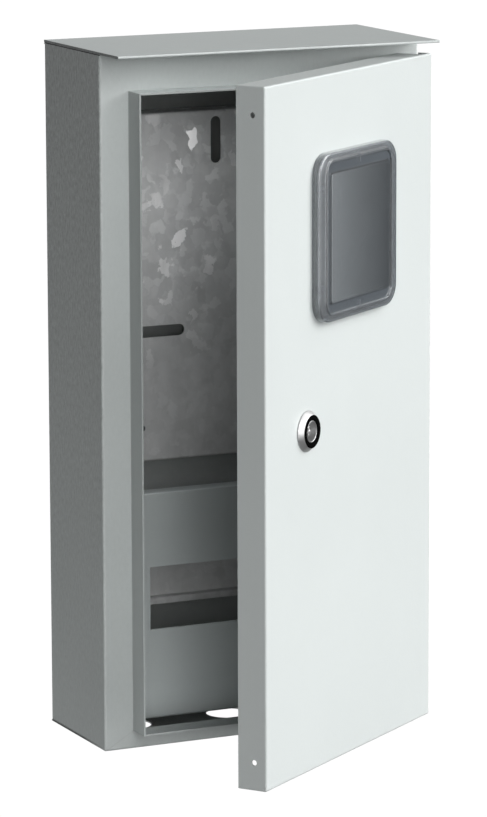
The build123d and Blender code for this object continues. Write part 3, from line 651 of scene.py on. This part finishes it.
def build_window():
    sh = Shape()

    def L(hx, hz, r, n):
        return loop_rr(hx, hz, r, DY - n, WIN_Z)
    rings = [L(56.0, 57.0, 13.6, 0.0), L(57.6, 58.6, 15.2, 0.0), L(58.0, 59.0, 15.6, 0.35), L(58.0, 59.0, 15.6, 2.4)]
    for x, z in arc(0.0, 0.0, 1.7, 0, 90, 6):   # outer shoulder
        d = 1.7 - x
        rings.append(L(58.0 - 0.1 - d, 59.0 - 0.1 - d, 15.5 - d, 4.7 + z))
    rings += [L(50.2, 55.4, 10.9, 6.38), L(49.6, 54.8, 10.3, 6.5)]
    for x, z in arc(0.0, 0.0, 0.8, 0, 90, 5):   # ridge
        d = 0.8 - x
        rings.append(L(49.4 - d, 54.6 - d, 10.1 - d, 6.65 + z))
    rings += [L(47.6, 52.8, 8.3, 7.42), L(47.2, 52.4, 8.0, 7.2), L(47.0, 52.2, 7.8, 6.6), L(46.7, 51.9, 7.5, 6.3),
              L(44.4, 46.6, 3.2, 6.3), L(43.6, 45.7, 2.4, 6.3), L(43.3, 45.35, 2.15, 6.45)]
    for x, z in arc(0.0, 0.0, 0.45, 0, 90, 4):  # pane's edge
        d = 0.45 - x
        rings.append(L(43.2 - d, 45.25 - d, 2.0 - d, 7.65 + z))
    rings.append(L(42.2, 44.2, 1.2, 8.1))
    rings_in = [L(41.0, 43.0, 1.5, 6.05), L(41.4, 43.4, 1.6, 5.9), L(41.5, 43.5, 1.7, 5.3), L(47.0, 50.0, 7.7, 5.3),
                L(47.4, 50.4, 8.1, 5.15), L(47.5, 50.5, 8.2, 4.5), L(54.6, 55.6, 12.2, 4.4), L(55.6, 56.6, 13.2, 4.0),
                L(56.0, 57.0, 13.6, 3.2)]
    k = len(rings[0])
    base = len(sh.v)
    order = rings + rings_in
    for ring in order:
        sh.v += [Vector(p) for p in ring]
    n1 = len(rings)
    for j in range(n1 - 1):
        a, b = base + j * k, base + (j + 1) * k
        sh.f += [(a + i, a + (i + 1) % k, b + (i + 1) % k, b + i) for i in range(k)]
    sh.f.append(tuple(base + (n1 - 1) * k + i for i in range(k)))
    sh.f.append(tuple(base + n1 * k + i for i in range(k))[::-1])
    for j in range(n1, len(order) - 1):
        a, b = base + j * k, base + (j + 1) * k
        sh.f += [(a + i, a + (i + 1) % k, b + (i + 1) % k, b + i) for i in range(k)]
    a, b = base + (len(order) - 1) * k, base
    sh.f += [(a + i, a + (i + 1) % k, b + (i + 1) % k, b + i) for i in range(k)]
    # Snap hooks: an arm, and a barb behind the door's sheet.
    for sx, sz, v in ((-1, 0, 34.9), (-1, 0, -34.9), (1, 0, 34.9), (1, 0, -34.9), (0, 1, 0.0), (0, -1, 0.0)):
        y0, y1, yb = DY - 4.42, DY + SHEET + 2.6, DY + SHEET + 0.25
        half = 52.75 if sx else 53.75
        prof = [(half - 1.8, y0), (half, y0), (half, yb), (half + 1.2, yb + 0.05), (half + 1.2, yb + 0.3),
                (half + 0.1, y1), (half - 1.5, y1), (half - 1.8, y1 - 0.3)]
        ends = []
        for t in (-3.0, 3.0):
            if sx:
                ends.append([(sx * p, y, WIN_Z + v + t) for p, y in prof])
            else:
                ends.append([(t, y, WIN_Z + sz * p) for p, y in prof])
        sh.rings(ends)
    # Small ribs where the hooks spring from the shell.
    for sz in (-1, 1):
        za, zb = sorted((WIN_Z + sz * 48.4, WIN_Z + sz * 53.0))
        sh.block(-0.45, 0.45, DY - 7.5, DY - 6.2, za, zb, c=0.12)
        for sx in (-1, 1):
            xa, xb = sorted((sx * 50.4, sx * 56.2))
            zc = WIN_Z + sz * 34.9
            sh.block(xa, xb, DY - 6.68, DY - 6.1, zc - 0.5, zc + 0.5, c=0.12)
    ob = make("meter_window", sh.v, sh.f, DOOR, SMOKY, "door", ("window",), sharp=40.0)
    ob.data.materials.append(SMOKY_PANE)
    ob.data.materials.append(SMOKY_GROOVE)
    ob.data.materials.append(SMOKY_SHADOW_LINE)
    # Faces: 1 is the pane, 2 the darker groove, and 3 a painted shadow line round the pane's edge and on the ridge's
    # inner wall at the right.
    back = DOOR.inverted()
    for f in ob.data.polygons:
        p = back @ f.center
        x, z, n = abs(p.x), abs(p.z - WIN_Z), DY - p.y
        if 6.9 < n < 8.09 and (42.3 < p.x < 43.3 or 44.3 < p.z - WIN_Z < 45.4) and x < 43.3:
            f.material_index = 3
        elif x < 43.30 and z < 45.35 and n > 5.2:
            f.material_index = 1
        elif (x < 43.80 and z < 45.90 and n > 6.0) or (46.6 < p.x < 47.9 and z < 46.0 and n > 6.2):
            f.material_index = 3
        elif 0.6 < x < 46.95 and z < 52.15 and n > 6.0:
            f.material_index = 2
    return ob


def build_seal():
    sh = Shape()

    def L(hx, hz, r, y):
        return loop_rr(hx, hz, r, y, WIN_Z)
    sh.rings([L(53.4, 54.4, 9.4, DY - 0.02), L(53.4, 54.4, 9.4, DY - 1.2), L(53.8, 54.8, 9.8, DY - 1.5),
              L(55.4, 56.4, 13.0, DY - 1.5), L(55.9, 56.9, 13.5, DY - 1.2), L(55.9, 56.9, 13.5, DY - 0.02)],
             close_loop=True)
    return make("window_foam", sh.v, sh.f, DOOR, FOAM, "door", ("window_seal",))


def build_gasket():
    """Foam strip foamed in place: a crowned bead with soft shoulders."""
    sh = Shape()
    cz, hz, hx = 243.4, 234.5, 107.3
    prof = [(0.25, 0.0), (0.0, 0.35), (0.25, 1.0), (1.2, 1.75), (2.8, 2.2), (5.0, 2.38), (7.2, 2.2), (8.8, 1.75),
            (9.75, 1.0), (10.0, 0.35), (9.75, 0.0)]
    rings = []
    for d, h in prof:
        ring = loop_rr(hx - d, hz - d, max(0.6, 8.0 - d * 0.6), DY + SHEET + h, cz, k=8, mid=40)
        if 0.5 < h:
            ring = [(x + 0.12 * math.sin(z * 0.21 + x * 0.13), y - 0.05 * (1 + math.sin(z * 0.47 + x * 0.39)), z)
                    for x, y, z in ring]
        rings.append(ring)
    sh.rings(rings, close_loop=True)
    return make("door_foam", sh.v, sh.f, DOOR, FOAM, "door", ("door_gasket",), sharp=60.0)


build_window()
build_seal()
build_gasket()

# ---- fixings: threads, nuts, washers, screws ----
BACK_IN = DEPTH - SHEET
STUDS = [(sx * 92.0, z) for sx in (-1, 1) for z in (216.9, 425.5)]


def weld_stud(sh, m, r, pitch, length, foot_r, foot_h):
    sh.lathe([(1e-4, 0.02), (foot_r, 0.02), (foot_r, foot_h * 0.6), (foot_r - 0.3, foot_h), (1e-4, foot_h)], m, 48)
    thread(sh, m, r, pitch, foot_h * 0.8, length)


sh = Shape()
for x, z in STUDS:
    weld_stud(sh, axes((x, BACK_IN, z), (0, -1, 0)), 2.5, 0.8, 29.0, 4.0, 1.0)
make("meter_studs", sh.v, sh.f, ROW, ZINC, "body", ("plate_studs",))
sh = Shape()
for x, z in STUDS:
    ring_washer(sh, axes((x, 77.0, z), (0, -1, 0)), 5.0, 2.65, 1.0)
make("meter_washers", sh.v, sh.f, ROW, ZINC, "body", ("plate_washers",))
sh = Shape()
for j, (x, z) in enumerate(STUDS):
    hexnut(sh, axes((x, 76.0, z), (0, -1, 0), 17.0 * j), 8.0, 4.0, 2.4, 0.8)
make("meter_nuts", sh.v, sh.f, ROW, ZINC, "body", ("plate_nuts",))
sh = Shape()
for sx in (-1, 1):
    cross_screw(sh, axes((sx * 90.0, 78.0, 103.8), (0, -1, 0), 20.0 * sx), 2.5, 6.0, 4.4, 2.9, 0.8)
make("rail_fixings", sh.v, sh.f, ROW, ZINC, "body", ("rail_screws",))
sh = Shape()
for j, (x, z) in enumerate([(sx * 93.0, z) for sx in (-1, 1) for z in (34.0, 160.0)]):
    cross_screw(sh, axes((x, 20.0, z), (0, -1, 0), 31.0 * j), 2.0, 8.0, 4.0, 2.6, 0.7)
make("cover_fixings", sh.v, sh.f, ROW, ZINC, "body", ("cover_screws",))

EX, EZ = -62.0, 40.0
sh = Shape()
weld_stud(sh, axes((EX, BACK_IN, EZ), (0, -1, 0)), 3.0, 1.0, 26.0, 5.0, 1.2)
make("earth_stud", sh.v, sh.f, ROW, BRASS, "body", ("body_earth_stud",))
sh = Shape()
ring_washer(sh, axes((EX, BACK_IN - 6.2, EZ), (0, -1, 0)), 6.0, 3.05, 1.6)
spring_washer(sh, axes((EX, BACK_IN - 7.8, EZ), (0, -1, 0)), 5.6, 3.05, 1.6)
make("earth_washers", sh.v, sh.f, ROW, BRASS, "body", ("body_earth_washers",))
sh = Shape()
hexnut(sh, axes((EX, BACK_IN - 1.2, EZ), (0, -1, 0)), 10.0, 5.0, 2.9, 1.0)
hexnut(sh, axes((EX, BACK_IN - 9.4, EZ), (0, -1, 0), 22.0), 10.0, 5.0, 2.9, 1.0)
make("earth_nuts", sh.v, sh.f, ROW, BRASS, "body", ("body_earth_nuts",))

DIN = DY + SHEET
DEX, DEZ = 86.0, 120.0
sh = Shape()
weld_stud(sh, axes((DEX, DIN, DEZ), (0, 1, 0)), 3.0, 1.0, 17.0, 5.0, 1.2)
make("door_earth_screw", sh.v, sh.f, DOOR, BRASS, "door", ("door_earth_stud",))
sh = Shape()
ring_washer(sh, axes((DEX, DIN + 1.2, DEZ), (0, 1, 0)), 6.0, 3.05, 1.6)
spring_washer(sh, axes((DEX, DIN + 2.8, DEZ), (0, 1, 0)), 5.6, 3.05, 1.6)
make("door_earth_rings", sh.v, sh.f, DOOR, BRASS, "door", ("door_earth_washers",))
sh = Shape()
hexnut(sh, axes((DEX, DIN + 4.4, DEZ), (0, 1, 0), 9.0), 10.0, 5.0, 2.9, 1.0)
make("door_earth_nut", sh.v, sh.f, DOOR, BRASS, "door", ("door_earth_nuts",))

# ---- painted shadow: a black strip in the seam between the canopy and the rounded side edges ----
sh = Shape()
for side in (-1, 1):
    ends = []
    for y in (0.6, 30.0, 60.0, DEPTH - 0.6):
        ends.append([(side * 123.9, y, 499.98), (side * 124.9, y, 499.98), (side * 124.92, y, 499.6),
                     (side * 124.88, y, 499.3), (side * 124.3, y, 499.1)])
    sh.rings(ends)
make("canopy_shadow_strip", sh.v, sh.f, ROW, FOAM, "body")

# ---- lock ----
LX, LZ = -65.0, 246.8


def lock_axes(y=0.0, back=False):
    return axes((LX, y, LZ), (0, 1 if back else -1, 0))


sh = Shape()
prof = [(8.1, 0.02), (14.2, 0.02), (14.45, 0.25), (14.45, 0.75), (14.3, 1.0)]
prof += [(11.85, 4.02), (11.7, 4.18), (11.3, 4.2), (11.2, 3.0), (8.1, 3.0)]
sh.lathe(prof, lock_axes(DY), 96, loop=True)
make("lock_bezel", sh.v, sh.f, DOOR, CHROME, "door", ("lock_housing",), sharp=50.0)
sh = Shape()
rings = []
seg, r1, r0, pitch = 64, 10.0, 9.2, 1.5
steps = int(24.0 / pitch * 6)
for j in range(steps + 1):
    y = 0.0 + 24.3 * j / steps
    ring = []
    for i in range(seg):
        t = (y / pitch - i / seg) % 1.0
        k = min(1.0, max(0.0, ((1.0 - abs(2.0 * t - 1.0)) - 0.12) / 0.72))
        rr = r0 + (r1 - r0) * k
        rr = min(rr, r0 - 0.3 + (24.3 - y) * 1.2)
        x = max(-9.0, min(9.0, rr * math.cos(2 * math.pi * i / seg)))
        ring.append((LX + x, DY + 0.01 + y, LZ + rr * math.sin(2 * math.pi * i / seg)))
    rings.append(ring)
for rr, y in ((6.4, 24.3), (5.6, 24.0), (5.6, 20.1), (8.0, 20.1), (8.0, 0.01)):
    rings.append([(LX + rr * math.cos(2 * math.pi * i / seg), DY + y, LZ + rr * math.sin(2 * math.pi * i / seg))
                  for i in range(seg)])
sh.rings(rings, close_loop=True)
make("lock_barrel", sh.v, sh.f, DOOR, CHROME, "door", sharp=50.0)
sh = Shape()
prof = [(7.97, 3.1), (11.15, 3.1), (11.15, 4.21), (11.62, 4.21)] + arc(11.3, 4.26, 0.33, 0, 90, 4)
prof += arc(8.6, 4.0, 0.59, 90, 170, 4)
sh.lathe(prof, lock_axes(DY), 96, loop=True)
make("lock_trim", sh.v, sh.f, DOOR, BLACK, "door", ("lock_ring",), sharp=50.0)
sh = Shape()
hexnut(sh, lock_axes(DIN, back=True), 25.0, 5.0, 9.9, 1.5)
make("lock_backnut", sh.v, sh.f, DOOR, ZINC, "door", ("lock_nut",))

sh = Shape()
prof = [(1e-4, -23.0), (5.4, -23.0), (5.4, -20.0), (7.85, -19.8), (7.85, 3.4), (7.6, 3.75), (7.2, 3.9), (6.95, 3.75)]
prof += [(6.75, 2.6), (6.2, -0.6), (5.5, -3.2), (4.6, -5.0), (3.2, -6.0), (1e-4, -6.2)]
sh.lathe(prof, lock_axes(DY), 80)
sh.lathe([(1e-4, -6.3), (1.7, -6.3), (1.6, 1.9), (1.35, 2.25), (1.1, 2.4), (1e-4, 2.4)], lock_axes(DY), 40)
m = lock_axes(DY)
for sgn in (-1, 1):
    sh.block(-0.9, 0.9, 1.0 if sgn > 0 else -3.5, 3.5 if sgn > 0 else -1.0, -6.2, 1.7, m, c=0.2)
sh.block(-3.4, 3.4, -3.4, 3.4, -27.2, -22.9, m, c=0.4)
make("lock_core", sh.v, sh.f, DOOR, SATIN, "lock", ("lock_insert",), sharp=45.0)
sh = Shape()
wy = 1.6 + 2.5
ring_washer(sh, axes((LX, wy, LZ), (0, 1, 0)), 6.0, 2.6, 1.0)
make("cam_ring", sh.v, sh.f, DOOR, ZINC, "lock", ("cam_washer",))
sh = Shape()
seg, half = 72, 4.0
rh = [half / math.cos(math.radians((360.0 * i / seg + 30.0) % 60.0 - 30.0)) for i in range(seg)]
hexring = lambda f, z: [(f(i) * math.cos(2 * math.pi * i / seg), f(i) * math.sin(2 * math.pi * i / seg), z(i))
                        for i in range(seg)]
sh.rings([hexring(lambda i: 3.8, lambda i: 0.02), hexring(lambda i: rh[i], lambda i: 0.15),
          hexring(lambda i: rh[i], lambda i: 3.0 - (rh[i] - 3.8) * 0.58), hexring(lambda i: 3.8, lambda i: 3.0)],
         axes((LX, wy + 1.0, LZ), (0, 1, 0)))
thread(sh, axes((LX, wy + 1.0, LZ), (0, -1, 0)), 2.1, 0.7, 0.0, 11.0)
make("cam_bolt", sh.v, sh.f, DOOR, ZINC, "lock", ("cam_screw",))


# ------------------------------------------------------------ stage, light
FLOOR_REACH = 2.6


def stage():
    bm = bmesh.new()
    bmesh.ops.create_circle(bm, cap_ends=True, segments=96, radius=FLOOR_REACH)
    me = bpy.data.meshes.new("floor")
    bm.to_mesh(me)
    bm.free()
    floor = bpy.data.objects.new("floor", me)
    bpy.context.scene.collection.objects.link(floor)
    floor.location = (0.0, 0.0, -0.62)
    m, n = new_material("floor_pale")
    c = n.coord()
    col = n.mix(n.noise(c, 3.0, 2.0), (0.095, 0.095, 0.095, 1), (0.115, 0.115, 0.115, 1))
    shader = n.add("ShaderNodeBsdfDiffuse", {"Color": col})
    white = n.add("ShaderNodeEmission", {"Color": (1, 1, 1, 1), "Strength": 1.02})
    path = n.add("ShaderNodeLightPath")
    both = n.add("ShaderNodeMixShader", {0: path.outputs["Is Camera Ray"], 1: shader.outputs[0], 2: white.outputs[0]})
    n.add("ShaderNodeOutputMaterial", {"Surface": both.outputs[0]})
    floor.data.materials.append(m)


# Soft light from each side: bearing from the front towards the right and
# height, both in degrees, then strength and how narrow the lobe is.
LOBES = (
    (180.0, 0.0, 0.438, 2.0),
    (-15.0, 5.0, 3.175, 16.0),
    (60.0, 20.0, 5.40, 16.0),
    (75.0, 35.0, 6.15, 16.0),
    (45.0, 10.0, 2.40, 16.0),
    (0.0, 10.0, 1.32, 60.0),
    (-10.0, 10.0, 3.98, 60.0),
    (0.0, 35.0, 6.9, 60.0),
    (-12.0, -9.0, 0.85, 40.0),
    (15.0, 55.0, 0.95, 30.0),
)
AMBIENT = 0.0
LOW_ENERGY = 0.744


def light_world():
    world = bpy.data.worlds.new("studio")
    bpy.context.scene.world = world
    world.use_nodes = True
    n = Nodes(world.node_tree)
    t = n.add("ShaderNodeTexCoord")
    total = None
    for bearing, height, k, narrow in LOBES:
        a, e = math.radians(bearing), math.radians(height)
        v = Vector((math.sin(a) * math.cos(e), -math.cos(a) * math.cos(e), math.sin(e)))
        dot = n.add("ShaderNodeVectorMath", operation="DOT_PRODUCT")
        n.put(dot, 0, t.outputs["Generated"])
        n.put(dot, 1, tuple(v))
        lobe = n.math("MULTIPLY", n.math("POWER", n.math("MAXIMUM", dot.outputs["Value"], 0.0), narrow), k)
        total = lobe if total is None else n.math("ADD", total, lobe)
    total = n.math("ADD", total, AMBIENT)
    path = n.add("ShaderNodeLightPath")
    seen = n.lerp(path.outputs["Is Camera Ray"], total, 1.02)
    bg = n.add("ShaderNodeBackground", {"Color": (1, 1, 1, 1), "Strength": seen})
    n.add("ShaderNodeOutputWorld", {"Surface": bg.outputs[0]})


def low_light():
    """A small soft light from below at the left, for the side's foot."""
    data = bpy.data.lights.new("low_left", "AREA")
    data.shape = "DISK"
    data.size = 0.36
    data.energy = LOW_ENERGY
    ob = bpy.data.objects.new("low_left", data)
    bpy.context.scene.collection.objects.link(ob)
    at, to = Vector((-0.52, -0.02, -0.52)), Vector((-0.125, -0.05, -0.20))
    ob.matrix_world = Matrix.Translation(at) @ (to - at).to_track_quat("-Z", "Y").to_matrix().to_4x4()
    ob.visible_camera = False


stage()
light_world()
low_light()
view = bpy.context.scene.view_settings
view.view_transform = "Standard"
view.look = "None"
view.exposure = 0.0
view.gamma = 1.0
